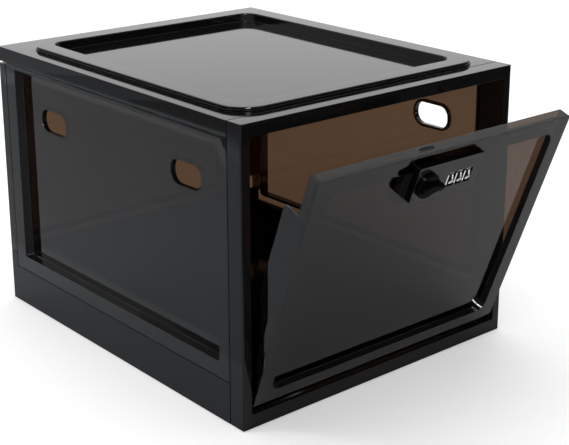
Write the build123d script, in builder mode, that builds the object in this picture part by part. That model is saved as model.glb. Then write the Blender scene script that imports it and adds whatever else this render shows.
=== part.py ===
"""Lockable storage box with a drop-front door and a three-dial lock.

X is the width, +Y points to the back, +Z is up. The origin is the middle of the
footprint on the floor. The door is drawn as it stands ajar, tilted about its hinge.
"""
import os
from math import cos, radians, sin

from build123d import *

os.makedirs("parts", exist_ok=True)

# Overall sizes
WIDTH = 350.0
DEPTH = 418.0
HEIGHT = 290.0
WALL = 3.0
SHEET = 2.5
FIT = 0.1
SEAM = 0.8
SEAM_DEEP = 1.2

# Outer faces that the pieces share
X_OUT = WIDTH / 2
Y_FRONT = -DEPTH / 2
Y_BACK = DEPTH / 2

# Front frame
FRAME_DEPTH = 20.0
STILE = 10.0
TOP_RAIL = 13.0
BOTTOM_RAIL = 13.5
FRAME_RETURN = 11.5
Y_SEAM = Y_FRONT + FRAME_DEPTH

# Base tray
SKIRT = 41.0
REAR_SKIRT = 56.5
RETURN = 14.0

# Lid
LID_SKIRT = 15.5
RIM_SIDE = 18.0
RIM_FRONT = 3.5
RIM_BACK = 29.0
RIM_RISE = 4.5
RIM_STEP = 0.9
RIM_STEP_TALL = 2.0
RIM_R = 30.0
RIM_WIDTH = 20.5
TRAY_DROP = 9.5
TRAY_R = 16.0

# Side and back panels
PANEL_TOP = HEIGHT - LID_SKIRT
WINDOW_DROP = 10.0
WINDOW_R = 2.0
SIDE_BORDER_FRONT = 15.0
SIDE_BORDER_BACK = 19.0
SIDE_BORDER_BOTTOM = 17.0
SIDE_BORDER_TOP = 5.0
BACK_BORDER = 25.0
BACK_PANEL_GAP = 2.5
TONGUE = 8.0
TONGUE_INSET = 25.0
TONGUE_X = WIDTH / 2 - TONGUE_INSET
HOLE_LONG = 47.0
HOLE_TALL = 24.0
HOLE_R = 11.0
HOLE_INSET = 59.0
HOLE_Z = 221.0
COLLAR = 3.0

# Door and its hinge
DOOR_GAP = 2.5
DOOR_TOP_GAP = 2.0
DOOR_EDGE = 12.5
DOOR_BORDER = 17.0
DOOR_THICK = 5.0
DOOR_DROP = 7.0
DOOR_R = 11.0
DOOR_AJAR = 20.5
HINGE_Y = 7.0
HINGE_Z = 25.0
HINGE_IN = 6.5
HINGE_UP = 7.0
PIN_D = 5.0
PIN_RUN = 0.05
PIN_BOSS = 11.0
PIN_LONG = 20.0
WING_REACH = 33.0
WING_DROP = 45.0
WING_BOTTOM = 14.5
WING_BEAD = 9.0
DOOR_WIDTH = WIDTH - 2 * (STILE + DOOR_GAP)
DOOR_HEIGHT = HEIGHT - TOP_RAIL - DOOR_TOP_GAP - HINGE_Z + HINGE_UP
WING_TOP = DOOR_HEIGHT - WING_DROP

# Lock body
LOCK_X = -5.5
LOCK_WIDE = 84.5
LOCK_TALL = 38.0
LOCK_DROP = 47.0
LOCK_BOTTOM = DOOR_HEIGHT - LOCK_DROP
LOCK_LEFT = LOCK_X - LOCK_WIDE / 2
LOCK_RIGHT = LOCK_X + LOCK_WIDE / 2
LOCK_RISE = 7.0
LOCK_WALL = 1.8
PAD_MARGIN = 0.4
CASE_DOWN = 11.0
CASE_UP = 33.0
SLOPE_START = 8.5
SLOPE_END = 20.0
CASE_LOW = LOCK_BOTTOM - CASE_DOWN
CASE_HIGH = LOCK_BOTTOM + CASE_UP
CASE_BACK = 21.0
CASE_SLOPE_LOW = LOCK_BOTTOM + SLOPE_START
CASE_SLOPE_HIGH = LOCK_BOTTOM + SLOPE_END
CASE_SHALLOW = 13.0
CASE_TOP = 10.7

# Dials
DIAL_COUNT = 3
DIAL_PITCH = 10.9
DIAL_FROM_RIGHT = 36.45
DIAL_UP = 16.0
DIAL_FIRST_X = LOCK_RIGHT - DIAL_FROM_RIGHT
DIAL_V = LOCK_BOTTOM + DIAL_UP
DIAL_N = -1.2
DIAL_R = 9.6
DIAL_WIDE = 7.6
DIAL_SLOT_WIDE = 8.4
DIAL_SLOT_TALL = 15.0
AXLE_D = 3.0
LUG_GAP = 1.6

# Knob, spindle, crank and bolt
KNOB_FROM_LEFT = 13.75
KNOB_UP = 19.0
KNOB_X = LOCK_LEFT + KNOB_FROM_LEFT
KNOB_V = LOCK_BOTTOM + KNOB_UP
KNOB_R = 13.0
KNOB_LIFT = 0.3
KNOB_DISC = 5.0
GRIP_REACH = 16.2
GRIP_WIDE = 9.0
GRIP_RISE = 5.0
HUB_D = 9.0
SPINDLE_D = 6.0
CRANK_R = 8.8
CRANK_THICK = 2.0
CRANK_N = -3.0
CRANK_THROW = 6.4
CRANK_PIN_D = 3.6
BOLT_LEFT = 4.5
BOLT_RIGHT = 11.5
BOLT_THICK = 3.0
BOLT_DOWN = 9.5
BOLT_BOTTOM = KNOB_V - BOLT_DOWN
BOLT_TOP = DOOR_HEIGHT - 0.4
BOLT_PLAY = 0.5
SCREW_D = 2.4
SCREW_HEAD_D = 4.4
SCREW_HEAD_TALL = 1.6
SCREW_SEAT = 8.0
SCREW_WELL_D = 5.2
SCREW_POST = 1.2
SCREW_FROM_LEFT = 6.75
SCREW_FROM_RIGHT = 4.55
LOW_SCREW_UP = 6.0
HIGH_SCREW_UP = 28.5
SCREW_SPOTS = ((LOCK_LEFT + SCREW_FROM_LEFT, LOCK_BOTTOM + LOW_SCREW_UP),
               (LOCK_RIGHT - SCREW_FROM_RIGHT, LOCK_BOTTOM + HIGH_SCREW_UP))
STOP_LIP = 5.0
STOP_GAP = 0.4

# Places worked out from the sizes
RIM_TOP = HEIGHT + RIM_RISE
TRAY_FLOOR = RIM_TOP - TRAY_DROP
RIM_Y0 = Y_SEAM + RIM_FRONT
RIM_Y1 = Y_BACK - RIM_BACK
RIM_X = X_OUT - RIM_SIDE
TRAY_X = RIM_X - RIM_WIDTH
TRAY_Y0 = RIM_Y0 + RIM_WIDTH
TRAY_Y1 = RIM_Y1 - RIM_WIDTH + 6.5
PANEL_Y1 = Y_BACK - RETURN
WIN_Y0 = Y_SEAM + SIDE_BORDER_FRONT
WIN_Y1 = PANEL_Y1 - SIDE_BORDER_BACK
WIN_Z0 = SKIRT + SIDE_BORDER_BOTTOM
WIN_Z1 = PANEL_TOP - SIDE_BORDER_TOP
DOOR_X = DOOR_WIDTH / 2
BOLT_FRONT = CRANK_N - CRANK_THICK - 0.4
BOLT_BACK = BOLT_FRONT - BOLT_THICK
PIN_IN_DOOR = PIN_LONG + SHEET - (X_OUT - DOOR_X)
DOOR_SHUT_Y = Y_FRONT + HINGE_Y - HINGE_IN

# The door's own frame: x across, y up the door, z out through its front face
UP_DOOR = Vector(0, -sin(radians(DOOR_AJAR)), cos(radians(DOOR_AJAR)))
OUT_DOOR = Vector(0, -cos(radians(DOOR_AJAR)), -sin(radians(DOOR_AJAR)))
HINGE = Vector(0, Y_FRONT + HINGE_Y, HINGE_Z)
DOOR_ORIGIN = HINGE - UP_DOOR * HINGE_UP + OUT_DOOR * HINGE_IN
ON_DOOR = Plane(origin=DOOR_ORIGIN, x_dir=(1, 0, 0), z_dir=OUT_DOOR)
ON_LEFT = Plane(origin=(-X_OUT, 0, 0), x_dir=(0, 1, 0), z_dir=(1, 0, 0))
ON_BACK = Plane(origin=(0, Y_BACK, 0), x_dir=(1, 0, 0), z_dir=(0, -1, 0))
ON_FRONT = Plane(origin=(0, Y_FRONT, 0), x_dir=(1, 0, 0), z_dir=(0, -1, 0))


def block(plane, x0, x1, y0, y1, z0, z1, mode=Mode.ADD, radius=0.0):
    """Rectangle drawn on a plane between two corners, pushed from height z0 to z1."""
    with BuildSketch(plane.offset(z0)) as face:
        with Locations(((x0 + x1) / 2, (y0 + y1) / 2)):
            if radius > 0:
                RectangleRounded(x1 - x0, y1 - y0, radius)
            else:
                Rectangle(x1 - x0, y1 - y0)
    extrude(face.sketch, amount=z1 - z0, mode=mode)


def rod(plane, x, y, diameter, z0, z1, mode=Mode.ADD):
    """Round bar or bore drawn on a plane, from height z0 to z1."""
    with BuildSketch(plane.offset(z0)) as face:
        with Locations((x, y)):
            Circle(diameter / 2)
    extrude(face.sketch, amount=z1 - z0, mode=mode)


def door_point(x, v, n):
    """Point given in the door's own frame."""
    return DOOR_ORIGIN + Vector(x, 0, 0) + UP_DOOR * v + OUT_DOOR * n


def across_door(x, v, n):
    """Plane whose normal runs along +X, at a point given in the door's own frame."""
    return Plane(origin=door_point(x, v, n), x_dir=UP_DOOR, z_dir=(1, 0, 0))


def prism(points, x0, x1, mode=Mode.ADD):
    """Outline of (v, n) points in the door's own frame, pushed along X."""
    with BuildSketch(across_door(x0, 0, 0)) as face:
        with BuildLine():
            Polyline(*points, close=True)
        make_face()
    extrude(face.sketch, amount=x1 - x0, mode=mode)


# Base tray: floor, low skirt with taller rear corners, and a tongue for the front frame
with BuildPart() as base_tray:
    block(Plane.XY, -X_OUT, X_OUT, Y_SEAM, Y_BACK, 0, SKIRT)
    block(Plane.XY, -X_OUT, X_OUT, Y_BACK - RETURN, Y_BACK, SKIRT, REAR_SKIRT)
    block(Plane.XY, -X_OUT + WALL, X_OUT - WALL, Y_SEAM + WALL, Y_BACK - WALL,
          WALL, REAR_SKIRT, Mode.SUBTRACT)
    block(Plane.XY, -X_OUT + WALL, X_OUT - WALL, Y_SEAM, Y_SEAM + WALL,
          BOTTOM_RAIL, SKIRT, Mode.SUBTRACT)
    block(Plane.XY, -TONGUE_X, TONGUE_X, Y_SEAM - TONGUE, Y_SEAM, WALL, 2 * WALL)
    outer_edges = base_tray.edges().filter_by(Axis.Z).filter_by_position(
        Axis.Y, Y_BACK - 0.1, Y_BACK + 0.1)
    fillet(outer_edges, 2.0)
base_tray.part.label = "base_tray"
export_step(base_tray.part, "parts/base_tray.step")


# Lid: skirted plate with a raised, stepped rim and a shallow tray inside the rim
with BuildPart() as lid:
    block(Plane.XY, -X_OUT, X_OUT, Y_SEAM, Y_BACK, PANEL_TOP, HEIGHT)
    block(Plane.XY, -RIM_X, RIM_X, RIM_Y0, RIM_Y1, HEIGHT, RIM_TOP, radius=RIM_R)
    block(Plane.XY, -RIM_X - RIM_STEP, RIM_X + RIM_STEP, RIM_Y0 - RIM_STEP, RIM_Y1 + RIM_STEP,
          HEIGHT, HEIGHT + RIM_STEP_TALL, radius=RIM_R + RIM_STEP)
    block(Plane.XY, -X_OUT + WALL, X_OUT - WALL, Y_SEAM, Y_BACK - WALL,
          PANEL_TOP, HEIGHT - WALL, Mode.SUBTRACT)
    block(Plane.XY, -RIM_X + WALL, RIM_X - WALL, RIM_Y0 + WALL, RIM_Y1 - WALL,
          HEIGHT - WALL, RIM_TOP - WALL, Mode.SUBTRACT, radius=RIM_R - WALL)
    block(Plane.XY, -TRAY_X - WALL, TRAY_X + WALL, TRAY_Y0 - WALL, TRAY_Y1 + WALL,
          TRAY_FLOOR - WALL, RIM_TOP, radius=TRAY_R + WALL)
    block(Plane.XY, -TRAY_X, TRAY_X, TRAY_Y0, TRAY_Y1,
          TRAY_FLOOR, RIM_TOP, Mode.SUBTRACT, radius=TRAY_R)
    block(Plane.XY, -TONGUE_X, TONGUE_X, Y_SEAM - TONGUE, Y_SEAM + WALL,
          HEIGHT - 2 * WALL - FIT, HEIGHT - WALL - FIT)
    block(Plane.XY, -TONGUE_X, TONGUE_X, Y_SEAM, Y_SEAM + WALL,
          HEIGHT - 2 * WALL - FIT, HEIGHT - WALL)
    outer_edges = lid.edges().filter_by(Axis.Z).filter_by_position(
        Axis.Y, Y_BACK - 0.1, Y_BACK + 0.1)
    fillet(outer_edges, 2.0)
    rim_edges = lid.edges().group_by(Axis.Z)[-1]
    chamfer(rim_edges, 0.8)
lid.part.label = "lid"
export_step(lid.part, "parts/lid.step")


# Front frame: channel-section portal with seam grooves, inner returns, pin bosses, bolt slot
SLOT_Y = DOOR_SHUT_Y - BOLT_FRONT
STOP_Y = DOOR_SHUT_Y + DOOR_EDGE + STOP_GAP
with BuildPart() as front_frame:
    block(Plane.XY, -X_OUT, X_OUT, Y_FRONT, Y_SEAM, 0, HEIGHT)
    frame_edges = front_frame.edges().filter_by(Axis.Z).filter_by_position(
        Axis.Y, Y_FRONT - 0.1, Y_FRONT + 0.1)
    fillet(frame_edges, 1.5)
    block(ON_FRONT, -X_OUT + STILE, X_OUT - STILE, BOTTOM_RAIL, HEIGHT - TOP_RAIL,
          -FRAME_DEPTH, 0, Mode.SUBTRACT, radius=2.0)
    for x0, x1, z0 in ((-X_OUT, SEAM_DEEP - X_OUT, 0), (X_OUT - SEAM_DEEP, X_OUT, 0),
                       (-X_OUT, X_OUT, HEIGHT - SEAM_DEEP)):
        block(Plane.XY, x0, x1, Y_SEAM - SEAM, Y_SEAM, z0, HEIGHT, Mode.SUBTRACT)
    for x0 in (-X_OUT + SHEET, X_OUT - STILE + SHEET):
        block(ON_FRONT, x0, x0 + STILE - 2 * SHEET, SHEET, HEIGHT - WALL,
              -FRAME_DEPTH, -WALL, Mode.SUBTRACT)
    block(ON_FRONT, -X_OUT + STILE, X_OUT - STILE, HEIGHT - TOP_RAIL + SHEET, HEIGHT - WALL,
          -FRAME_DEPTH, -WALL, Mode.SUBTRACT)
    block(ON_FRONT, -X_OUT + STILE, X_OUT - STILE, SHEET, BOTTOM_RAIL - SHEET,
          -FRAME_DEPTH, -WALL, Mode.SUBTRACT)
    for x0 in (-X_OUT + STILE - SHEET, X_OUT - STILE):
        block(ON_FRONT, x0, x0 + SHEET, BOTTOM_RAIL, HEIGHT - TOP_RAIL,
              -FRAME_DEPTH - FRAME_RETURN, -WALL)
    for side in (-1, 1):
        boss = Plane(origin=(side * (X_OUT - STILE), 0, 0), x_dir=(0, 1, 0), z_dir=(side, 0, 0))
        rod(boss, Y_FRONT + HINGE_Y, side * HINGE_Z, PIN_BOSS, 0, STILE - SHEET)
        rod(boss, Y_FRONT + HINGE_Y, side * HINGE_Z, PIN_D, 0, STILE - SHEET, Mode.SUBTRACT)
    block(Plane.XY, KNOB_X - BOLT_LEFT - 1.5, KNOB_X + BOLT_RIGHT + 1.5,
          SLOT_Y - 0.8, SLOT_Y + BOLT_THICK + 0.8, HEIGHT - TOP_RAIL - 1,
          HEIGHT - TOP_RAIL + SHEET + 1, Mode.SUBTRACT)
    block(Plane.XY, -TONGUE_X, TONGUE_X, STOP_Y, STOP_Y + SHEET,
          HEIGHT - TOP_RAIL - STOP_LIP, HEIGHT - TOP_RAIL + SHEET)
front_frame.part.label = "front_frame"
export_step(front_frame.part, "parts/front_frame.step")


# Side panel: grooved sheet, thick at the rear, with a deep window and two collared hand holes
HOLE_SPOTS = ((WIN_Y0 + HOLE_INSET, HOLE_Z), (WIN_Y1 - HOLE_INSET, HOLE_Z))
LIP0 = WALL + FIT
LIP1 = WALL + FIT + SHEET
with BuildPart() as left_panel:
    block(ON_LEFT, Y_SEAM, PANEL_Y1, SKIRT, PANEL_TOP, 0, SHEET)
    block(ON_LEFT, WIN_Y0 - SHEET, WIN_Y1 + SHEET, WIN_Z0 - SHEET, WIN_Z1 + SHEET,
          0, WINDOW_DROP + SHEET, radius=WINDOW_R + SHEET)
    block(ON_LEFT, WIN_Y0, WIN_Y1, WIN_Z0, WIN_Z1, 0, WINDOW_DROP, Mode.SUBTRACT,
          radius=WINDOW_R)
    block(ON_LEFT, Y_SEAM + WALL, PANEL_Y1 - WALL, PANEL_TOP - WALL, PANEL_TOP, 0, LIP1)
    block(ON_LEFT, Y_SEAM + WALL, PANEL_Y1 - WALL, PANEL_TOP, PANEL_TOP + TONGUE, LIP0, LIP1)
    block(ON_LEFT, Y_SEAM + WALL, PANEL_Y1 - WALL, SKIRT, SKIRT + WALL, 0, LIP1)
    block(ON_LEFT, Y_SEAM + WALL + FIT, PANEL_Y1 - WALL, SKIRT - TONGUE, SKIRT, LIP0, LIP1)
    for y0, y1 in ((Y_SEAM - TONGUE, Y_SEAM + WALL), (PANEL_Y1 - WALL, PANEL_Y1 + TONGUE)):
        block(ON_LEFT, y0, y1, WIN_Z0, WIN_Z1, LIP0, LIP1)
    for y0, y1 in ((Y_SEAM, Y_SEAM + WALL), (WIN_Y1, PANEL_Y1)):
        block(ON_LEFT, y0, y1, WIN_Z0, WIN_Z1, 0, LIP1)
    for y0, z0, z1 in ((Y_SEAM, SKIRT, SKIRT + SEAM), (Y_SEAM, PANEL_TOP - SEAM, PANEL_TOP),
                       (PANEL_Y1 - SEAM, SKIRT, PANEL_TOP)):
        block(ON_LEFT, y0, PANEL_Y1, z0, z1, 0, SEAM_DEEP, Mode.SUBTRACT)
    for spot in HOLE_SPOTS:
        with BuildSketch(ON_LEFT.offset(WINDOW_DROP)) as collar:
            with Locations(spot):
                RectangleRounded(HOLE_LONG + 2 * WALL, HOLE_TALL + 2 * WALL, HOLE_R + WALL)
        extrude(collar.sketch, amount=SHEET + COLLAR)
        with BuildSketch(ON_LEFT.offset(WINDOW_DROP)) as hole:
            with Locations(spot):
                RectangleRounded(HOLE_LONG, HOLE_TALL, HOLE_R)
        extrude(hole.sketch, amount=SHEET + COLLAR, mode=Mode.SUBTRACT)
left_panel.part.label = "left_panel"
export_step(left_panel.part, "parts/left_panel.step")

with BuildPart() as right_panel:
    mirror(left_panel.part, about=Plane.YZ)
right_panel.part.label = "right_panel"
export_step(right_panel.part, "parts/right_panel.step")


# Back panel: bordered sheet with side returns, a groove below and the same inward window
BACK_TOP = PANEL_TOP - BACK_PANEL_GAP
BACK_X = X_OUT - BACK_BORDER
BACK_Z0 = REAR_SKIRT + SIDE_BORDER_BOTTOM
BACK_Z1 = BACK_TOP - SIDE_BORDER_TOP - WALL
with BuildPart() as back_panel:
    block(ON_BACK, -X_OUT, X_OUT, REAR_SKIRT, BACK_TOP, 0, RETURN)
    outer_edges = back_panel.edges().filter_by(Axis.Z).filter_by_position(
        Axis.Y, Y_BACK - 0.1, Y_BACK + 0.1)
    fillet(outer_edges, 2.0)
    block(ON_BACK, -X_OUT + SHEET, X_OUT - SHEET, REAR_SKIRT, BACK_TOP, SHEET, RETURN,
          Mode.SUBTRACT)
    block(ON_BACK, -BACK_X - SHEET, BACK_X + SHEET, BACK_Z0 - SHEET, BACK_Z1 + SHEET,
          0, WINDOW_DROP + SHEET, radius=WINDOW_R + SHEET)
    block(ON_BACK, -BACK_X, BACK_X, BACK_Z0, BACK_Z1, 0, WINDOW_DROP, Mode.SUBTRACT,
          radius=WINDOW_R)
    for x0, x1 in ((SHEET - X_OUT, -BACK_X), (BACK_X, X_OUT - SHEET)):
        block(ON_BACK, x0, x1, BACK_Z0, BACK_Z1, 0, LIP1)
    block(ON_BACK, -BACK_X, BACK_X, BACK_TOP - WALL, BACK_TOP, 0, LIP1)
    block(ON_BACK, -BACK_X, BACK_X, BACK_TOP, PANEL_TOP + TONGUE, LIP0, LIP1)
    block(ON_BACK, -BACK_X, BACK_X, REAR_SKIRT, REAR_SKIRT + WALL, 0, LIP1)
    block(ON_BACK, -BACK_X, BACK_X, REAR_SKIRT - TONGUE, REAR_SKIRT, LIP0, LIP1)
    for x0, x1, depth in ((-X_OUT, X_OUT, SEAM_DEEP), (-X_OUT, SEAM_DEEP - X_OUT, RETURN),
                          (X_OUT - SEAM_DEEP, X_OUT, RETURN)):
        block(ON_BACK, x0, x1, REAR_SKIRT, REAR_SKIRT + SEAM, 0, depth, Mode.SUBTRACT)
back_panel.part.label = "back_panel"
export_step(back_panel.part, "parts/back_panel.step")


# Hinge pins: pressed into the frame's bosses, running in the door's bosses
for side, name in ((-1, "hinge_pin_left"), (1, "hinge_pin_right")):
    with BuildPart() as hinge_pin:
        start = Plane(origin=(side * (X_OUT - SHEET), 0, 0), x_dir=(0, 1, 0),
                      z_dir=(-side, 0, 0))
        rod(start, Y_FRONT + HINGE_Y, -side * HINGE_Z, PIN_D, 0, PIN_LONG)
    hinge_pin.part.label = name
    export_step(hinge_pin.part, "parts/" + name + ".step")


# Door: edged sheet with a thick border, a recess, a flush pad for the lock and a left wing
PAD_X0 = LOCK_LEFT - PAD_MARGIN
PAD_X1 = LOCK_RIGHT + PAD_MARGIN
REC_X = DOOR_X - DOOR_BORDER
REC_V1 = DOOR_HEIGHT - DOOR_BORDER
LUG_WIDE = 2.0
RACK_X0 = DIAL_FIRST_X - DIAL_WIDE / 2 - LUG_GAP - LUG_WIDE
RACK_X1 = DIAL_FIRST_X + (DIAL_COUNT - 1) * DIAL_PITCH + DIAL_WIDE / 2 + LUG_GAP
with BuildPart() as door_panel:
    block(ON_DOOR, -DOOR_X, DOOR_X, 0, DOOR_HEIGHT, -DOOR_EDGE, 0, radius=2.5)
    block(ON_DOOR, -DOOR_X + SHEET, DOOR_X - SHEET, SHEET, DOOR_HEIGHT - SHEET,
          -DOOR_EDGE, -SHEET, Mode.SUBTRACT)
    for x0, x1 in ((SHEET / 2 - DOOR_X, PAD_X0 - SHEET), (PAD_X1 + SHEET, DOOR_X - SHEET / 2)):
        block(ON_DOOR, x0, x1, REC_V1, DOOR_HEIGHT - SHEET / 2, -DOOR_THICK, -SHEET)
    for x0, x1 in ((SHEET / 2 - DOOR_X, -REC_X), (REC_X, DOOR_X - SHEET / 2)):
        block(ON_DOOR, x0, x1, DOOR_BORDER, REC_V1, -DOOR_THICK, -SHEET)
    with BuildSketch(ON_DOOR) as recess:
        with Locations((0, (DOOR_BORDER + REC_V1) / 2)):
            RectangleRounded(2 * REC_X, REC_V1 - DOOR_BORDER, DOOR_R)
        with Locations(((PAD_X0 + PAD_X1) / 2, REC_V1)):
            Rectangle(PAD_X1 - PAD_X0, 2 * (REC_V1 - LOCK_BOTTOM + PAD_MARGIN),
                      mode=Mode.SUBTRACT)
        pad_corners = recess.vertices().filter_by_position(Axis.X, PAD_X0 - 1, PAD_X1 + 1)
        chamfer(pad_corners, 1.5)
    with BuildSketch(ON_DOOR) as tub:
        add(recess.sketch_local)
        offset(amount=SHEET, kind=Kind.INTERSECTION)
    extrude(tub.sketch, amount=-DOOR_DROP - SHEET)
    extrude(recess.sketch, amount=-DOOR_DROP, mode=Mode.SUBTRACT)
    block(ON_DOOR, SHEET - DOOR_X, 2 * SHEET - DOOR_X, WING_BOTTOM, WING_TOP,
          -WING_REACH, -SHEET)
    block(ON_DOOR, SHEET - DOOR_X, 2 * SHEET - DOOR_X + 1, WING_TOP - WING_BEAD, WING_TOP,
          -WING_REACH, -DOOR_EDGE)
    for side in (-1, 1):
        face = Plane(origin=door_point(side * DOOR_X, HINGE_UP, -HINGE_IN),
                     x_dir=UP_DOOR, z_dir=(-side, 0, 0))
        rod(face, 0, 0, PIN_BOSS, 0, PIN_IN_DOOR + 2.0)
        rod(face, 0, 0, PIN_D + 2 * PIN_RUN, 0, PIN_IN_DOOR + 0.5, Mode.SUBTRACT)
    block(ON_DOOR, RACK_X0 - 0.6, RACK_X1 + LUG_WIDE + 0.6, DIAL_V - DIAL_R - 0.8,
          DIAL_V + DIAL_R + 0.8, -SHEET, 0, Mode.SUBTRACT)
    rod(ON_DOOR, KNOB_X, KNOB_V, SPINDLE_D + 1.0, -SHEET, 0, Mode.SUBTRACT)
    for x, v in SCREW_SPOTS:
        rod(ON_DOOR, x, v, SCREW_D + 2 * FIT, -SHEET, 0, Mode.SUBTRACT)
    block(ON_DOOR, KNOB_X - BOLT_LEFT - BOLT_PLAY, KNOB_X + BOLT_RIGHT + BOLT_PLAY,
          DOOR_HEIGHT - SHEET - 1, DOOR_HEIGHT + 1, BOLT_BACK - 0.4, BOLT_FRONT + 0.4,
          Mode.SUBTRACT)
door_panel.part.label = "door_panel"
export_step(door_panel.part, "parts/door_panel.step")


# Lock housing: shallow shell on the door's front with dial windows and axle lugs
with BuildPart() as lock_housing:
    block(ON_DOOR, LOCK_LEFT, LOCK_RIGHT, LOCK_BOTTOM, LOCK_BOTTOM + LOCK_TALL, 0, LOCK_RISE,
          radius=2.0)
    block(ON_DOOR, LOCK_LEFT + LOCK_WALL, LOCK_RIGHT - LOCK_WALL, LOCK_BOTTOM + LOCK_WALL,
          LOCK_BOTTOM + LOCK_TALL - LOCK_WALL, 0, LOCK_RISE - LOCK_WALL, Mode.SUBTRACT)
    for index in range(DIAL_COUNT):
        x = DIAL_FIRST_X + index * DIAL_PITCH
        block(ON_DOOR, x - DIAL_SLOT_WIDE / 2, x + DIAL_SLOT_WIDE / 2,
              DIAL_V - DIAL_SLOT_TALL / 2, DIAL_V + DIAL_SLOT_TALL / 2,
              0, LOCK_RISE, Mode.SUBTRACT)
    for x in (RACK_X0, RACK_X1):
        block(ON_DOOR, x, x + LUG_WIDE, DIAL_V - 4, DIAL_V + 4, DIAL_N - 3.5,
              LOCK_RISE - LOCK_WALL)
        rod(across_door(x, DIAL_V, DIAL_N), 0, 0, AXLE_D, 0, LUG_WIDE, Mode.SUBTRACT)
    for x, v in SCREW_SPOTS:
        rod(ON_DOOR, x, v, SCREW_D + 2 * SCREW_POST, 0, LOCK_RISE - LOCK_WALL)
        rod(ON_DOOR, x, v, SCREW_D, 0, LOCK_RISE - LOCK_WALL, Mode.SUBTRACT)
    rod(ON_DOOR, KNOB_X, KNOB_V, HUB_D + 2 * PIN_RUN, 0, LOCK_RISE, Mode.SUBTRACT)
lock_housing.part.label = "lock_housing"
export_step(lock_housing.part, "parts/lock_housing.step")


# Hollow of the lock case, less its screw posts
SCREW_POST_D = SCREW_WELL_D + 2 * SCREW_POST
CASE_X0 = PAD_X0 + SHEET + 0.2
CASE_X1 = PAD_X1 - SHEET - 0.2
TUB_BACK = -DOOR_DROP - SHEET
TUB_LOW = LOCK_BOTTOM - PAD_MARGIN + SHEET + 0.2
with BuildPart() as case_hollow:
    prism(((TUB_LOW + LOCK_WALL, -SHEET), (TUB_LOW + LOCK_WALL, TUB_BACK - LOCK_WALL),
           (CASE_LOW + LOCK_WALL, TUB_BACK - LOCK_WALL),
           (CASE_LOW + LOCK_WALL, 4 - CASE_BACK),
           (CASE_LOW + 4.6, LOCK_WALL - CASE_BACK),
           (CASE_SLOPE_LOW - 0.7, LOCK_WALL - CASE_BACK),
           (CASE_SLOPE_HIGH - 0.7, LOCK_WALL - CASE_SHALLOW),
           (CASE_HIGH - LOCK_WALL, LOCK_WALL - CASE_TOP), (CASE_HIGH - LOCK_WALL, -SHEET)),
          CASE_X0 + LOCK_WALL, CASE_X1 - LOCK_WALL)
    for x, v in SCREW_SPOTS:
        rod(ON_DOOR, x, v, SCREW_POST_D, -CASE_BACK, -SCREW_SEAT + SCREW_POST, Mode.SUBTRACT)
        rod(ON_DOOR, x, v, SCREW_D + 2 * SCREW_POST, -CASE_BACK, -SHEET, Mode.SUBTRACT)

# Lock case: stepped cup behind the door that guides the bolt and takes the screws
with BuildPart() as lock_case:
    prism(((TUB_LOW, -SHEET), (TUB_LOW, TUB_BACK - 1), (CASE_HIGH, TUB_BACK - 1),
           (CASE_HIGH, -SHEET)), CASE_X0, CASE_X1)
    prism(((CASE_LOW, TUB_BACK), (CASE_LOW, 4 - CASE_BACK), (CASE_LOW + 4, -CASE_BACK),
           (CASE_SLOPE_LOW, -CASE_BACK), (CASE_SLOPE_HIGH, -CASE_SHALLOW),
           (CASE_HIGH, -CASE_TOP), (CASE_HIGH, TUB_BACK)), LOCK_LEFT, LOCK_RIGHT)
    add(case_hollow.part, mode=Mode.SUBTRACT)
    block(ON_DOOR, KNOB_X - BOLT_LEFT - BOLT_PLAY, KNOB_X + BOLT_RIGHT + BOLT_PLAY,
          CASE_HIGH - LOCK_WALL - 1, CASE_HIGH + 1, BOLT_BACK - 0.4, BOLT_FRONT + 0.4,
          Mode.SUBTRACT)
    for x, v in SCREW_SPOTS:
        rod(ON_DOOR, x, v, SCREW_D + 2 * FIT, -CASE_BACK, -SHEET, Mode.SUBTRACT)
        rod(ON_DOOR, x, v, SCREW_WELL_D, -CASE_BACK, -SCREW_SEAT, Mode.SUBTRACT)
lock_case.part.label = "lock_case"
export_step(lock_case.part, "parts/lock_case.step")


# Lock screws: two alike, driven from inside the door through case and sheet
with BuildPart() as lock_screws:
    for x, v in SCREW_SPOTS:
        rod(ON_DOOR, x, v, SCREW_D, -SCREW_SEAT, LOCK_RISE - LOCK_WALL - 1.0)
        rod(ON_DOOR, x, v, SCREW_HEAD_D, -SCREW_SEAT - SCREW_HEAD_TALL, -SCREW_SEAT)
        block(ON_DOOR, x - 1.6, x + 1.6, v - 0.4, v + 0.4, -SCREW_SEAT - SCREW_HEAD_TALL,
              -SCREW_SEAT - SCREW_HEAD_TALL / 2, Mode.SUBTRACT)
lock_screws.part.label = "lock_screws"
export_step(lock_screws.part, "parts/lock_screws.step")


# Dial axle, pressed into the housing's two lugs
with BuildPart() as dial_axle:
    rod(across_door(RACK_X0, DIAL_V, DIAL_N), 0, 0, AXLE_D, 0, RACK_X1 + LUG_WIDE - RACK_X0)
dial_axle.part.label = "dial_axle"
export_step(dial_axle.part, "parts/dial_axle.step")


# Dials: ten flats for the numbers, side by side on the axle
for index in range(DIAL_COUNT):
    x = DIAL_FIRST_X + index * DIAL_PITCH
    with BuildPart() as dial:
        with BuildSketch(across_door(x - DIAL_WIDE / 2, DIAL_V, DIAL_N)):
            RegularPolygon(DIAL_R, 10, rotation=90)
            Circle(AXLE_D / 2 + PIN_RUN, mode=Mode.SUBTRACT)
        extrude(amount=DIAL_WIDE)
        chamfer(dial.faces().filter_by(Axis.X).edges().filter_by(GeomType.LINE), 0.6)
    dial.part.label = "dial_" + str(index + 1)
    export_step(dial.part, "parts/dial_" + str(index + 1) + ".step")


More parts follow.
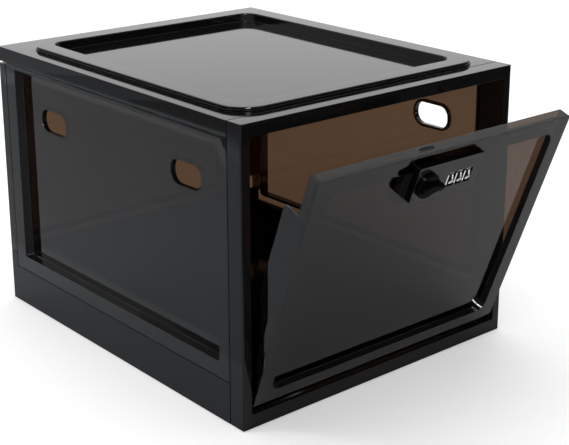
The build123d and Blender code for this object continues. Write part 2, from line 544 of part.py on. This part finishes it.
# Knob: round disc with a tapered finger grip and a hub that runs in the housing
DISC_N = LOCK_RISE + KNOB_LIFT
GRIP_N = DISC_N + KNOB_DISC
SPINDLE_N = DISC_N + 3.0
with BuildPart() as knob:
    rod(ON_DOOR, KNOB_X, KNOB_V, 2 * KNOB_R, DISC_N, GRIP_N)
    chamfer(knob.faces().sort_by(Axis(DOOR_ORIGIN, OUT_DOOR))[-1].edges(), 1.2)
    grip_root = Plane(origin=door_point(KNOB_X, KNOB_V, DISC_N), x_dir=(1, 0, 0),
                      z_dir=OUT_DOOR)
    with BuildSketch(grip_root) as grip:
        Circle(GRIP_WIDE / 2)
        with Locations((GRIP_REACH - GRIP_WIDE / 4, 0)):
            Circle(GRIP_WIDE / 4)
        with Locations((-KNOB_R + GRIP_WIDE / 3, 0)):
            Rectangle(GRIP_WIDE / 2, GRIP_WIDE / 2)
        make_hull()
    extrude(grip.sketch, amount=KNOB_DISC + GRIP_RISE)
    chamfer(knob.faces().sort_by(Axis(DOOR_ORIGIN, OUT_DOOR))[-1].edges(), 0.8)
    rod(ON_DOOR, KNOB_X, KNOB_V, HUB_D, LOCK_RISE - LOCK_WALL, DISC_N + 0.5)
    rod(ON_DOOR, KNOB_X, KNOB_V, SPINDLE_D, LOCK_RISE - LOCK_WALL, SPINDLE_N, Mode.SUBTRACT)
knob.part.label = "knob"
export_step(knob.part, "parts/knob.step")


# Spindle, pressed into the knob and the crank
with BuildPart() as spindle:
    rod(ON_DOOR, KNOB_X, KNOB_V, SPINDLE_D, CRANK_N - CRANK_THICK, SPINDLE_N)
spindle.part.label = "spindle"
export_step(spindle.part, "parts/spindle.step")


# Crank: disc with an eccentric pin that lifts the bolt
PIN_SWING = CRANK_THROW * sin(radians(45))
with BuildPart() as crank:
    rod(ON_DOOR, KNOB_X, KNOB_V, 2 * CRANK_R, CRANK_N - CRANK_THICK, CRANK_N)
    rod(ON_DOOR, KNOB_X, KNOB_V, SPINDLE_D, CRANK_N - CRANK_THICK, CRANK_N, Mode.SUBTRACT)
    rod(ON_DOOR, KNOB_X + PIN_SWING, KNOB_V - PIN_SWING, CRANK_PIN_D,
        BOLT_BACK + 0.4, CRANK_N - CRANK_THICK)
crank.part.label = "crank"
export_step(crank.part, "parts/crank.step")


# Bolt: flat plate lifted by the crank pin into the frame's top rail
with BuildPart() as latch_bolt:
    block(ON_DOOR, KNOB_X - BOLT_LEFT, KNOB_X + BOLT_RIGHT, BOLT_BOTTOM, BOLT_TOP,
          BOLT_BACK, BOLT_FRONT)
    top_edges = latch_bolt.faces().sort_by(Axis(DOOR_ORIGIN, UP_DOOR))[-1].edges()
    chamfer(top_edges.filter_by(Axis.X), 1.0)
    pin_half = CRANK_PIN_D / 2 + BOLT_PLAY
    block(ON_DOOR, KNOB_X + PIN_SWING - pin_half, KNOB_X + CRANK_THROW + pin_half,
          KNOB_V - PIN_SWING - pin_half, KNOB_V - PIN_SWING + pin_half,
          BOLT_BACK, BOLT_FRONT, Mode.SUBTRACT)
latch_bolt.part.label = "latch_bolt"
export_step(latch_bolt.part, "parts/latch_bolt.step")
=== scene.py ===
"""Looks of the lockable storage box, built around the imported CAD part."""

import math

import bmesh
import bpy
from mathutils import Matrix, Vector


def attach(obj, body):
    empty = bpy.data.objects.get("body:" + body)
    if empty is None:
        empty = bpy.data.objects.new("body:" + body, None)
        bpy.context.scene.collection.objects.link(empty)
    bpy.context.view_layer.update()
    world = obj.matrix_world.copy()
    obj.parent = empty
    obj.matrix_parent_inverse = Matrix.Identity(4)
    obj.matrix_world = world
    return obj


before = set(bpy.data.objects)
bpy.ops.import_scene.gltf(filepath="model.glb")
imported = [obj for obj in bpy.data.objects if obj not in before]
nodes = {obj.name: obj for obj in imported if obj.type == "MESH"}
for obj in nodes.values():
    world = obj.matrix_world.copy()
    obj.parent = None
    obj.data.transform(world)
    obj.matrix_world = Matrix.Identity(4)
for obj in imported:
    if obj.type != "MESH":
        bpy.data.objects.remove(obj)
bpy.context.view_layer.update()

MM = 0.001

# The door's own frame, as part.py has it: x across, v up the door, n out of its face
AJAR = math.radians(20.5)
UP = Vector((0, -math.sin(AJAR), math.cos(AJAR)))
OUT = Vector((0, -math.cos(AJAR), -math.sin(AJAR)))
HINGE = Vector((0, -202.0, 25.0))
HINGE_V = 7.0
HINGE_N = -6.5

# The lock in the door's frame
LOCK_BOTTOM = 210.0
LOCK_RISE = 7.0
DIAL_V = LOCK_BOTTOM + 16.0
DIAL_N = -1.2
DIAL_R = 9.6
DIAL_X = (0.3, 11.2, 22.1)
DIAL_SIDES = 10
SIDE_TURN = 360.0 / DIAL_SIDES
DIAL_APOTHEM = DIAL_R * math.cos(math.radians(SIDE_TURN / 2))


def door_point(x, v, n):
    """Point of the door's own frame, in metres in the row frame."""
    return (Vector((x, 0, 0)) + HINGE + UP * (v - HINGE_V) + OUT * (n - HINGE_N)) * MM


def door_frame(x, v, n, turn=0.0):
    """Placement at a point of the door, turned about X by a dial's angle."""
    out = OUT * math.cos(turn) + UP * math.sin(turn)
    up = UP * math.cos(turn) - OUT * math.sin(turn)
    place = Matrix((Vector((1, 0, 0)), up, out)).transposed().to_4x4()
    place.translation = door_point(x, v, n)
    return place


# Materials
def new_material(name):
    """Empty node material with its output node."""
    mat = bpy.data.materials.new(name)
    mat.use_nodes = True
    mat.node_tree.nodes.clear()
    out = mat.node_tree.nodes.new("ShaderNodeOutputMaterial")
    return mat, mat.node_tree.nodes, mat.node_tree.links, out


def noise(tree_nodes, links, scale, detail=3.0, rough=0.5):
    """Noise texture in object space."""
    where = tree_nodes.new("ShaderNodeTexCoord")
    tex = tree_nodes.new("ShaderNodeTexNoise")
    tex.inputs["Scale"].default_value = scale
    tex.inputs["Detail"].default_value = detail
    tex.inputs["Roughness"].default_value = rough
    links.new(where.outputs["Object"], tex.inputs["Vector"])
    return tex.outputs["Fac"]


def remap(tree_nodes, links, value, low, high):
    """Noise value, which lies mostly between 0.3 and 0.7, mapped between two numbers."""
    node = tree_nodes.new("ShaderNodeMapRange")
    node.inputs["From Min"].default_value = 0.3
    node.inputs["From Max"].default_value = 0.7
    node.inputs["To Min"].default_value = low
    node.inputs["To Max"].default_value = high
    links.new(value, node.inputs["Value"])
    return node.outputs["Result"]


def ramp(tree_nodes, links, value, dark, light):
    """Noise value turned into a colour between two close shades."""
    node = tree_nodes.new("ShaderNodeMix")
    node.data_type = "RGBA"
    node.inputs["A"].default_value = (*dark, 1)
    node.inputs["B"].default_value = (*light, 1)
    links.new(value, node.inputs["Factor"])
    return node.outputs["Result"]


def bump(tree_nodes, links, value, strength, distance):
    """Bump from a noise value."""
    node = tree_nodes.new("ShaderNodeBump")
    node.inputs["Strength"].default_value = strength
    node.inputs["Distance"].default_value = distance
    links.new(value, node.inputs["Height"])
    return node.outputs["Normal"]


def moulded(name, dark, light, rough_low, rough_high, ior=1.5, grain=0.0):
    """Moulded plastic: its shade and gloss drift a little, and it has a grain or faint waves."""
    mat, tree, links, out = new_material(name)
    bsdf = tree.new("ShaderNodeBsdfPrincipled")
    bsdf.inputs["IOR"].default_value = ior
    drift = noise(tree, links, 9.0, 2.0)
    links.new(ramp(tree, links, drift, dark, light), bsdf.inputs["Base Color"])
    smear = noise(tree, links, 45.0, 4.0, 0.6)
    links.new(remap(tree, links, smear, rough_low, rough_high), bsdf.inputs["Roughness"])
    if grain > 0:
        fine = noise(tree, links, 2600.0, 2.0, 0.6)
        links.new(bump(tree, links, fine, 0.25, grain), bsdf.inputs["Normal"])
    else:
        waves = noise(tree, links, 14.0, 1.0)
        links.new(bump(tree, links, waves, 0.06, 0.0012), bsdf.inputs["Normal"])
    links.new(bsdf.outputs["BSDF"], out.inputs["Surface"])
    return mat


def smoked(name):
    """Smoked clear plastic, which absorbs by depth: brown in one sheet, black in thick parts."""
    mat, tree, links, out = new_material(name)
    bsdf = tree.new("ShaderNodeBsdfPrincipled")
    bsdf.inputs["IOR"].default_value = 1.58
    bsdf.inputs["Transmission Weight"].default_value = 1.0
    drift = noise(tree, links, 5.0, 1.0)
    tint = ramp(tree, links, drift, (0.95, 0.95, 0.95), (1.0, 1.0, 1.0))
    links.new(tint, bsdf.inputs["Base Color"])
    smear = noise(tree, links, 30.0, 3.0)
    links.new(remap(tree, links, smear, 0.015, 0.04), bsdf.inputs["Roughness"])
    waves = noise(tree, links, 11.0, 1.0)
    links.new(bump(tree, links, waves, 0.03, 0.001), bsdf.inputs["Normal"])
    links.new(bsdf.outputs["BSDF"], out.inputs["Surface"])
    depth = tree.new("ShaderNodeVolumeAbsorption")
    depth.inputs["Color"].default_value = (0.330, 0.182, 0.034, 1)
    depth.inputs["Density"].default_value = 1340.0
    links.new(depth.outputs["Volume"], out.inputs["Volume"])
    return mat


def metal(name, dark, light, rough_low, rough_high):
    """Plated steel, faintly mottled."""
    mat, tree, links, out = new_material(name)
    bsdf = tree.new("ShaderNodeBsdfPrincipled")
    bsdf.inputs["Metallic"].default_value = 1.0
    mottle = noise(tree, links, 420.0, 4.0)
    links.new(ramp(tree, links, mottle, dark, light), bsdf.inputs["Base Color"])
    links.new(remap(tree, links, mottle, rough_low, rough_high), bsdf.inputs["Roughness"])
    fine = noise(tree, links, 1800.0, 2.0)
    links.new(bump(tree, links, fine, 0.1, 0.0001), bsdf.inputs["Normal"])
    links.new(bsdf.outputs["BSDF"], out.inputs["Surface"])
    return mat


GLOSS = moulded("gloss_black", (0.0035, 0.0035, 0.0038), (0.0055, 0.0055, 0.0060), 0.07, 0.13,
                ior=1.42)
SMOKE = smoked("smoked_clear")
LOCK = moulded("lock_black", (0.012, 0.012, 0.0125), (0.018, 0.018, 0.019), 0.16, 0.24,
               grain=0.00006)
# Opaque near-black on the walls of the clear sheets' windows, hand holes and door recess: painted
# shade in place of the clear plastic there.
WALLS_PAINTED_SHADE = moulded("smoked_edge_painted_shade", (0.004, 0.004, 0.004), (0.008, 0.0078, 0.0076), 0.03, 0.05,
                ior=1.5)
# Lighter copy of the wall finish for the side windows' rear walls: painted light where they face
# the front.
REAR_WALL_PAINTED_LIGHT = moulded("smoked_rear_edge_painted_light", (0.018, 0.018, 0.018), (0.024, 0.0238, 0.0236), 0.05, 0.12,
                    ior=1.5)
# Black of the knob and the studs, also laid as painted shade on the lock housing's sides and the
# lid rim's outer side.
KNOB_AND_PAINTED_SHADE = moulded("knob_black_and_painted_shade", (0.0012, 0.0012, 0.0012), (0.0025, 0.0025, 0.0025), 0.10, 0.16,
               ior=1.10)
SKIRT = moulded("skirt_gloss", (0.0035, 0.0035, 0.0035), (0.0055, 0.0055, 0.0056), 0.035, 0.05,
                ior=1.42)
TRAY = moulded("tray_gloss", (0.0035, 0.0035, 0.0035), (0.0055, 0.0055, 0.0056), 0.05, 0.07,
               ior=1.40)
DIAL = moulded("dial_black", (0.002, 0.002, 0.002), (0.004, 0.004, 0.004), 0.25, 0.35,
               ior=1.25)
PRINT = moulded("white_print", (0.80, 0.80, 0.79), (0.88, 0.88, 0.87), 0.40, 0.55)
STEEL = metal("plated_steel", (0.48, 0.49, 0.50), (0.62, 0.62, 0.62), 0.22, 0.34)

# Each CAD node's material, and the width in millimetres that its hard edges are rounded by
FINISH = {
    "base_tray": (GLOSS, 0.4), "lid": (GLOSS, 0.4), "front_frame": (GLOSS, 0.35),
    "left_panel": (SMOKE, 0.35), "right_panel": (SMOKE, 0.35), "back_panel": (SMOKE, 0.35),
    "door_panel": (SMOKE, 0.35), "lock_housing": (LOCK, 0.3), "lock_case": (LOCK, 0.4),
    "knob": (KNOB_AND_PAINTED_SHADE, 0.35), "dial_1": (DIAL, 0.15), "dial_2": (DIAL, 0.15),
    "dial_3": (DIAL, 0.15), "hinge_pin_left": (STEEL, 0.1), "hinge_pin_right": (STEEL, 0.1),
    "lock_screws": (STEEL, 0.1), "dial_axle": (STEEL, 0.1), "spindle": (STEEL, 0.1),
    "crank": (STEEL, 0.15), "latch_bolt": (LOCK, 0.2),
}

# Edges that are rounded, and the door's two pin corners, whose edges stay as they are
HARD_ANGLE = math.radians(35)
WELD_GAP = 1e-6
PIN_EDGE_LONGEST = 30.0 * MM
PIN_CORNER_X = 150.0 * MM
PIN_CORNER_TOP = 8.0


def at_pin_corner(spot):
    """True for a place in metres at one of the door's two pin corners."""
    return abs(spot.x) > PIN_CORNER_X and (spot / MM - HINGE).dot(UP) < PIN_CORNER_TOP


def mark_hard_edges(obj):
    """Gives the door's hard edges their bevel weight, all but those of its two pin corners."""
    mesh = obj.data
    spots = [obj.matrix_world @ v.co for v in mesh.vertices]
    keys = [tuple(round(c, 6) for c in spot) for spot in spots]
    sides = {}
    for face in mesh.polygons:
        for a, b in face.edge_keys:
            sides.setdefault(frozenset((keys[a], keys[b])), []).append(face.normal.copy())
    weight = mesh.attributes.new("bevel_weight_edge", "FLOAT", "EDGE")
    sharp = mesh.attributes.new("sharp_edge", "BOOLEAN", "EDGE")
    for edge in mesh.edges:
        a, b = edge.vertices
        normals = sides.get(frozenset((keys[a], keys[b])), [])
        hard = len(normals) == 2 and normals[0].angle(normals[1]) > HARD_ANGLE
        short = (spots[a] - spots[b]).length < PIN_EDGE_LONGEST
        at_pin = short and at_pin_corner(spots[a]) and at_pin_corner(spots[b])
        weight.data[edge.index].value = 1.0 if hard and not at_pin else 0.0
        sharp.data[edge.index].value = hard and at_pin


def soften(obj, width):
    """Rounds a CAD node's hard edges by a fraction of a millimetre, as modifiers only."""
    weld = obj.modifiers.new("weld", "WELD")
    weld.merge_threshold = WELD_GAP
    round_off = obj.modifiers.new("round", "BEVEL")
    round_off.width = width * MM
    round_off.segments = 2
    round_off.harden_normals = False
    round_off.limit_method = "ANGLE"
    round_off.angle_limit = HARD_ANGLE
    round_off.use_clamp_overlap = False
    if obj.name == "door_panel":
        mark_hard_edges(obj)
        round_off.limit_method = "WEIGHT"
    level = obj.modifiers.new("level", "WEIGHTED_NORMAL")
    level.keep_sharp = True
    level.weight = 100
    for face in obj.data.polygons:
        face.use_smooth = True


for name, obj in nodes.items():
    finish, width = FINISH[name]
    obj.data.materials.clear()
    obj.data.materials.append(finish)
    soften(obj, width)


# Second materials, by the place in millimetres and the normal of a node's faces
FACING = 0.9
FACING_FRONT = 0.7
HALFWAY = 0.5
EDGE_ON = 0.3

SIDE_FLOOR_X = 164.8
SIDE_WINDOW_Y = (-175.0, 177.0)
SIDE_WINDOW_Z = (57.0, 270.5)

HOLE_INNER_X = 155.0
HOLE_Y = (-115.0, 117.0)
HOLE_Z = 221.0
HOLE_HALF_LONG = 12.5
HOLE_HALF_FLAT = 1.0
HOLE_REACH = 12.0

BACK_FLOOR_Y = 198.8
BACK_WINDOW_X = 151.0
BACK_WINDOW_Z = (72.5, 265.0)

RECESS_N = (-7.1, 0.0)
RECESS_X = 146.5
RECESS_V = (16.0, 241.0)

RIM_FOOT_Z = 290.0
RIM_INSIDE_X = 140.0
RIM_INSIDE_Y = (-168.0, 170.0)
TRAY_Z = (284.0, 286.0)
SKIRT_X = 174.0


def inside(value, limits):
    """True between two limits."""
    return limits[0] < value < limits[1]


def second_finish(obj, finish, test):
    """Gives a CAD node's faces that pass the test of place and normal a second material."""
    obj.data.materials.append(finish)
    turn = obj.matrix_world.to_3x3()
    for face in obj.data.polygons:
        if test((obj.matrix_world @ face.center) / MM, turn @ face.normal):
            face.material_index = len(obj.data.materials) - 1


def in_side_window(spot, normal):
    """Wall of a side panel's window: across the sheet, between its face and its floor."""
    return (abs(normal.x) < EDGE_ON and abs(spot.x) > SIDE_FLOOR_X
            and inside(spot.y, SIDE_WINDOW_Y) and inside(spot.z, SIDE_WINDOW_Z))


def on_rear_wall(spot, normal):
    """Wall at the back of a side panel's window, which faces the front and catches more light,
    painted in as a lighter shade.
    """
    return in_side_window(spot, normal) and normal.y < -FACING_FRONT


def in_hand_hole(spot, normal):
    """Inner wall of a hand hole, inside its collar."""
    along = max(min(abs(spot.y - y) for y in HOLE_Y) - HOLE_HALF_LONG, 0.0)
    across = max(abs(spot.z - HOLE_Z) - HOLE_HALF_FLAT, 0.0)
    return (abs(normal.x) < EDGE_ON and abs(spot.x) > HOLE_INNER_X
            and math.hypot(along, across) < HOLE_REACH)


def in_back_window(spot, normal):
    """Wall of the back panel's window."""
    return (abs(normal.y) < EDGE_ON and spot.y > BACK_FLOOR_Y
            and abs(spot.x) < BACK_WINDOW_X and inside(spot.z, BACK_WINDOW_Z))


def in_door_recess(spot, normal):
    """Wall of the door's recess, the lock pad's sides among them."""
    from_hinge = spot - HINGE
    return (abs(normal.dot(OUT)) < EDGE_ON and abs(spot.x) < RECESS_X
            and inside(from_hinge.dot(OUT) + HINGE_N, RECESS_N)
            and inside(from_hinge.dot(UP) + HINGE_V, RECESS_V))


def off_lock_front(spot, normal):
    """Any face of the lock's housing but its front, made as black as the knob: painted shade on
    the housing's sides.
    """
    return normal.dot(OUT) < HALFWAY


def on_rim_side(spot, normal):
    """Outer side of the lid's raised rim, which takes the knob's darker black as painted shade."""
    return (abs(normal.z) < HALFWAY and spot.z > RIM_FOOT_Z
            and (abs(spot.x) > RIM_INSIDE_X or not inside(spot.y, RIM_INSIDE_Y)))


def on_lid_skirt(spot, normal):
    """Left or right side of the lid's skirt."""
    return abs(normal.x) > FACING and abs(spot.x) > SKIRT_X


def on_tray_floor(spot, normal):
    """Floor of the tray in the lid."""
    return normal.z > FACING and inside(spot.z, TRAY_Z)


# Painted shade: the housing's sides darker than its front.
second_finish(nodes["lock_housing"], KNOB_AND_PAINTED_SHADE, off_lock_front)
# Painted shade: the rim's outer side darker than the rest of the lid.
second_finish(nodes["lid"], KNOB_AND_PAINTED_SHADE, on_rim_side)
second_finish(nodes["lid"], SKIRT, on_lid_skirt)
second_finish(nodes["lid"], TRAY, on_tray_floor)
# Window, hand-hole and recess walls of the clear sheets take opaque near-black as painted shade.
for name in ("left_panel", "right_panel"):
    second_finish(nodes[name], WALLS_PAINTED_SHADE, in_side_window)
    second_finish(nodes[name], REAR_WALL_PAINTED_LIGHT, on_rear_wall)
    second_finish(nodes[name], WALLS_PAINTED_SHADE, in_hand_hole)
second_finish(nodes["back_panel"], WALLS_PAINTED_SHADE, in_back_window)
second_finish(nodes["door_panel"], WALLS_PAINTED_SHADE, in_door_recess)

# Small pieces on the lock, in millimetres
NUMERAL_HIGH = 4.8
NUMERAL_FONT = 6.4
NUMERAL_BOLDER = 0.26
NUMERAL_WIDER = 1.6
NUMERAL_HALF_THICK = 0.03
NUMERAL_LIFT = 0.02
BAR_FROM_DIAL = 5.45
BAR_V = (220.5, 231.5)
BAR_WIDE = 1.5
BAR_HALF_THICK = 0.05
BAR_ARC_STEPS = 8
STUD_R = 0.9
STUD_SIDES = 24
STUD_RINGS = ((1.0, -0.1), (1.0, 0.12), (0.86, 0.2), (0.7, 0.12), (0.35, 0.18))
STUDS = (("low", -44.0, 214.2), ("mid", -8.2, 215.6))


def add_piece(name, mesh, material, body):
    """Object of one material, riding on a body."""
    mesh.materials.clear()
    mesh.materials.append(material)
    obj = bpy.data.objects.new(name, mesh)
    bpy.context.scene.collection.objects.link(obj)
    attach(obj, body)


def bmesh_piece(name, bm, material, body):
    """Piece from a bmesh."""
    mesh = bpy.data.meshes.new(name)
    bm.to_mesh(mesh)
    bm.free()
    add_piece(name, mesh, material, body)


def numeral(name, digit, place, body):
    """One numeral as a thin raised print, centred on a dial's flat."""
    curve = bpy.data.curves.new(name + "_text", "FONT")
    curve.body = str(digit)
    curve.size = NUMERAL_FONT * MM
    curve.align_x = "CENTER"
    curve.align_y = "CENTER"
    curve.extrude = NUMERAL_HALF_THICK * MM
    curve.offset = NUMERAL_BOLDER * MM
    curve.resolution_u = 4
    holder = bpy.data.objects.new(name + "_text", curve)
    bpy.context.scene.collection.objects.link(holder)
    bpy.context.view_layer.update()
    mesh = bpy.data.meshes.new_from_object(holder)
    bpy.data.objects.remove(holder)
    low = Vector(min(v.co[i] for v in mesh.vertices) for i in range(3))
    high = Vector(max(v.co[i] for v in mesh.vertices) for i in range(3))
    taller = NUMERAL_HIGH * MM / (high.y - low.y)
    mesh.transform(Matrix.Translation(-(low + high) / 2))
    mesh.transform(Matrix.Diagonal((NUMERAL_WIDER, taller, 1.0, 1.0)))
    mesh.transform(place)
    mesh.name = name
    add_piece(name, mesh, PRINT, body)


for letter, x in zip("abc", DIAL_X):
    for digit in range(DIAL_SIDES):
        turn = math.radians(SIDE_TURN * (digit - 0.5))
        spot = door_frame(x, DIAL_V, DIAL_N, turn)
        spot = spot @ Matrix.Translation((0, 0, (DIAL_APOTHEM + NUMERAL_LIFT) * MM))
        numeral("numeral_" + letter + str(digit), digit, spot, "dial_" + letter)


def bar(x, v0, v1, width):
    """Printed bar on the housing's front, rounded at both ends."""
    bm = bmesh.new()
    outline = []
    for i in range(BAR_ARC_STEPS + 1):
        a = math.pi * i / BAR_ARC_STEPS
        outline.append((x + math.cos(a) * width / 2, v1 - width / 2 + math.sin(a) * width / 2))
    for i in range(BAR_ARC_STEPS + 1):
        a = math.pi + math.pi * i / BAR_ARC_STEPS
        outline.append((x + math.cos(a) * width / 2, v0 + width / 2 + math.sin(a) * width / 2))
    top = [bm.verts.new(door_point(px, pv, LOCK_RISE + BAR_HALF_THICK)) for px, pv in outline]
    low = [bm.verts.new(door_point(px, pv, LOCK_RISE - BAR_HALF_THICK)) for px, pv in outline]
    bm.faces.new(top)
    bm.faces.new(list(reversed(low)))
    for i in range(len(top)):
        j = (i + 1) % len(top)
        bm.faces.new((top[i], low[i], low[j], top[j]))
    return bm


for letter, x in zip("abc", DIAL_X):
    bmesh_piece("index_bar_" + letter, bar(x - BAR_FROM_DIAL, *BAR_V, BAR_WIDE), PRINT, "door")


def stud(x, v, radius):
    """Small domed stud with a rim, on the housing's front."""
    bm = bmesh.new()
    loops = []
    for share, rise in STUD_RINGS:
        r = radius * share
        loop = []
        for i in range(STUD_SIDES):
            a = math.tau * i / STUD_SIDES
            spot = door_point(x + r * math.cos(a), v + r * math.sin(a), LOCK_RISE + rise)
            loop.append(bm.verts.new(spot))
        loops.append(loop)
    for a, b in zip(loops, loops[1:]):
        for i in range(STUD_SIDES):
            j = (i + 1) % STUD_SIDES
            bm.faces.new((a[i], a[j], b[j], b[i]))
    bm.faces.new(loops[-1])
    bm.faces.new(list(reversed(loops[0])))
    return bm


for label, x, v in STUDS:
    bmesh_piece("housing_stud_" + label, stud(x, v, STUD_R), KNOB_AND_PAINTED_SHADE, "door")

# Floor and world
FLOOR_HALF = 6.0
FLOOR_Z = -0.0006
FLOOR_GLOW = 0.25
WORLD_FILL = 0.72


def either(tree_nodes, links, first, second):
    """One where either of two ray tests says one."""
    node = tree_nodes.new("ShaderNodeMath")
    node.operation = "MAXIMUM"
    links.new(first, node.inputs[0])
    links.new(second, node.inputs[1])
    return node.outputs[0]


def seen_rays(tree_nodes, links):
    """One for a ray from the camera, through clear plastic or off gloss, zero for the others."""
    path = tree_nodes.new("ShaderNodeLightPath")
    seen = either(tree_nodes, links, path.outputs["Is Camera Ray"],
                  path.outputs["Is Transmission Ray"])
    return either(tree_nodes, links, seen, path.outputs["Is Glossy Ray"])


def floor_material():
    """Pale floor that keeps the object's shadow and joins the white background."""
    mat, tree, links, out = new_material("pale_floor")
    diffuse = tree.new("ShaderNodeBsdfDiffuse")
    shade = noise(tree, links, 1.5, 1.0)
    links.new(ramp(tree, links, shade, (0.86, 0.86, 0.86), (0.88, 0.88, 0.88)),
              diffuse.inputs["Color"])
    glow = tree.new("ShaderNodeEmission")
    weak = tree.new("ShaderNodeMath")
    weak.operation = "MULTIPLY"
    weak.inputs[1].default_value = FLOOR_GLOW
    links.new(seen_rays(tree, links), weak.inputs[0])
    links.new(weak.outputs[0], glow.inputs["Strength"])
    total = tree.new("ShaderNodeAddShader")
    links.new(diffuse.outputs["BSDF"], total.inputs[0])
    links.new(glow.outputs["Emission"], total.inputs[1])
    links.new(total.outputs["Shader"], out.inputs["Surface"])
    return mat


def plane(name, corners, material):
    """Flat four-cornered stage piece."""
    mesh = bpy.data.meshes.new(name)
    mesh.from_pydata(corners, [], [(0, 1, 2, 3)])
    mesh.materials.append(material)
    obj = bpy.data.objects.new(name, mesh)
    bpy.context.scene.collection.objects.link(obj)
    return obj


def level_corners(x0, x1, y0, y1, z):
    """Corners of a level rectangle."""
    return [(x0, y0, z), (x1, y0, z), (x1, y1, z), (x0, y1, z)]


def white_world():
    """White world, a little weaker where it lights matt surfaces."""
    world = bpy.data.worlds.new("studio")
    world.use_nodes = True
    tree = world.node_tree.nodes
    links = world.node_tree.links
    tree.clear()
    sky = tree.new("ShaderNodeBackground")
    sky.inputs["Color"].default_value = (1, 1, 1, 1)
    strength = tree.new("ShaderNodeMapRange")
    strength.inputs["To Min"].default_value = WORLD_FILL
    strength.inputs["To Max"].default_value = 1.0
    links.new(seen_rays(tree, links), strength.inputs["Value"])
    links.new(strength.outputs["Result"], sky.inputs["Strength"])
    out = tree.new("ShaderNodeOutputWorld")
    links.new(sky.outputs["Background"], out.inputs["Surface"])
    return world


bpy.context.scene.world = white_world()
plane("floor", level_corners(-FLOOR_HALF, FLOOR_HALF, -FLOOR_HALF, FLOOR_HALF, FLOOR_Z),
      floor_material())

# Cards for the gloss, which lie in layers just over the floor where they overlap
COOL = 1.06
LAYER_1, LAYER_2, LAYER_3 = 0.0002, 0.0004, 0.0005
SKIRT_EDGE_X = -0.742
SKIRT_REAR_Y = 0.85


def card(name, corners, shade, cool=1.0):
    """Matt card that only the gloss of the object sees, as a studio flag is set out of view."""
    mat, tree, links, out = new_material(name)
    bsdf = tree.new("ShaderNodeBsdfDiffuse")
    drift = noise(tree, links, 2.0, 1.0)
    low, high = shade * 0.97, shade * 1.03
    links.new(ramp(tree, links, drift, (low / cool, low, low * cool),
                   (high / cool, high, high * cool)),
              bsdf.inputs["Color"])
    links.new(bsdf.outputs["BSDF"], out.inputs["Surface"])
    obj = plane(name, corners, mat)
    obj.visible_camera = False
    obj.visible_diffuse = False
    obj.visible_transmission = False
    obj.visible_shadow = False


card("grey_card", level_corners(-2.5, 2.5, -2.5, 2.5, 0.0), 0.39, COOL)
card("dark_card", level_corners(-0.4, 3.0, -3.0, -0.58, LAYER_1), 0.04)
card("ceiling_card", [(-3.0, -3.0, 1.7), (-3.0, 3.0, 1.7), (3.0, 3.0, 1.7), (3.0, -3.0, 1.7)],
     0.80)
card("bounce_card", level_corners(-0.5, 0.75, -0.55, -0.212, LAYER_2), 0.52)
card("skirt_card", level_corners(-1.2, SKIRT_EDGE_X, 0.4, SKIRT_REAR_Y, LAYER_2), 0.13, COOL)
card("skirt_card_rear", level_corners(-1.2, SKIRT_EDGE_X, SKIRT_REAR_Y, 1.12, LAYER_2), 0.25, COOL)
card("border_card", level_corners(SKIRT_EDGE_X, -0.69, 0.4, 1.3, LAYER_3), 0.55, COOL)
card("base_card", level_corners(-0.26, -0.176, -0.2, 0.45, LAYER_2), 0.50, COOL)
card("front_flag", [(0.55, -1.95, 0.35), (1.95, -0.85, 0.35), (1.95, -0.85, 1.15),
                    (0.55, -1.95, 1.15)], 0.02)


# Lamps
def softbox(name, where, aim, wide, tall, power):
    """Soft rectangular lamp that the camera doesn't see."""
    light = bpy.data.lights.new(name, "AREA")
    light.shape = "RECTANGLE"
    light.size = wide
    light.size_y = tall
    light.energy = power
    obj = bpy.data.objects.new(name, light)
    bpy.context.scene.collection.objects.link(obj)
    obj.location = where
    obj.rotation_mode = "QUATERNION"
    obj.rotation_quaternion = (Vector(aim) - Vector(where)).to_track_quat("-Z", "Y")
    obj.visible_camera = False
    obj.visible_transmission = False
    return obj


overhead = softbox("overhead", (0.1, 0.1, 2.4), (0, 0, 0.1), 2.4, 2.4, 24.0)
overhead.visible_glossy = False
softbox("key", (-0.82, 0.30, 1.47), (0.1, -0.2, 0.1), 0.24, 0.24, 3.0)
flash = softbox("flash", (-1.0, -1.82, 1.42), (0.155, -0.22, 0.05), 0.5, 0.5, 110.0)
flash.visible_diffuse = False
softbox("rear", (2.2, 2.6, 1.2), (0, 0, 0.3), 3.6, 1.8, 3.0)

# Camera at the photograph's viewing angle
WIDTH_PX = 569.0
FOCAL_PX = 1321.15
CENTRE_X, CENTRE_Y = 8.34, -57.0
AZIMUTH, ELEVATION, ROLL = -0.710866, 0.301837, 0.000584
EYE = Vector((-0.843697, -1.053647, 0.589408))
SENSOR_MM = 36.0
NEAREST, FARTHEST = 0.05, 50.0

camera = bpy.data.cameras.new("camera")
camera.sensor_width = SENSOR_MM
camera.lens = SENSOR_MM * FOCAL_PX / WIDTH_PX
camera.shift_x = -CENTRE_X / WIDTH_PX
camera.shift_y = CENTRE_Y / WIDTH_PX
camera.clip_start = NEAREST
camera.clip_end = FARTHEST
camera_object = bpy.data.objects.new("camera", camera)
bpy.context.scene.collection.objects.link(camera_object)
back = Vector((math.sin(AZIMUTH) * math.cos(ELEVATION),
               -math.cos(AZIMUTH) * math.cos(ELEVATION),
               math.sin(ELEVATION)))
right = Vector((0, 0, 1)).cross(back).normalized()
above = back.cross(right)
side = right * math.cos(ROLL) + above * math.sin(ROLL)
top = above * math.cos(ROLL) - right * math.sin(ROLL)
pose = Matrix((side, top, back)).transposed().to_4x4()
pose.translation = EYE
camera_object.matrix_world = pose
bpy.context.scene.camera = camera_object
bpy.context.scene.view_settings.view_transform = "Standard"
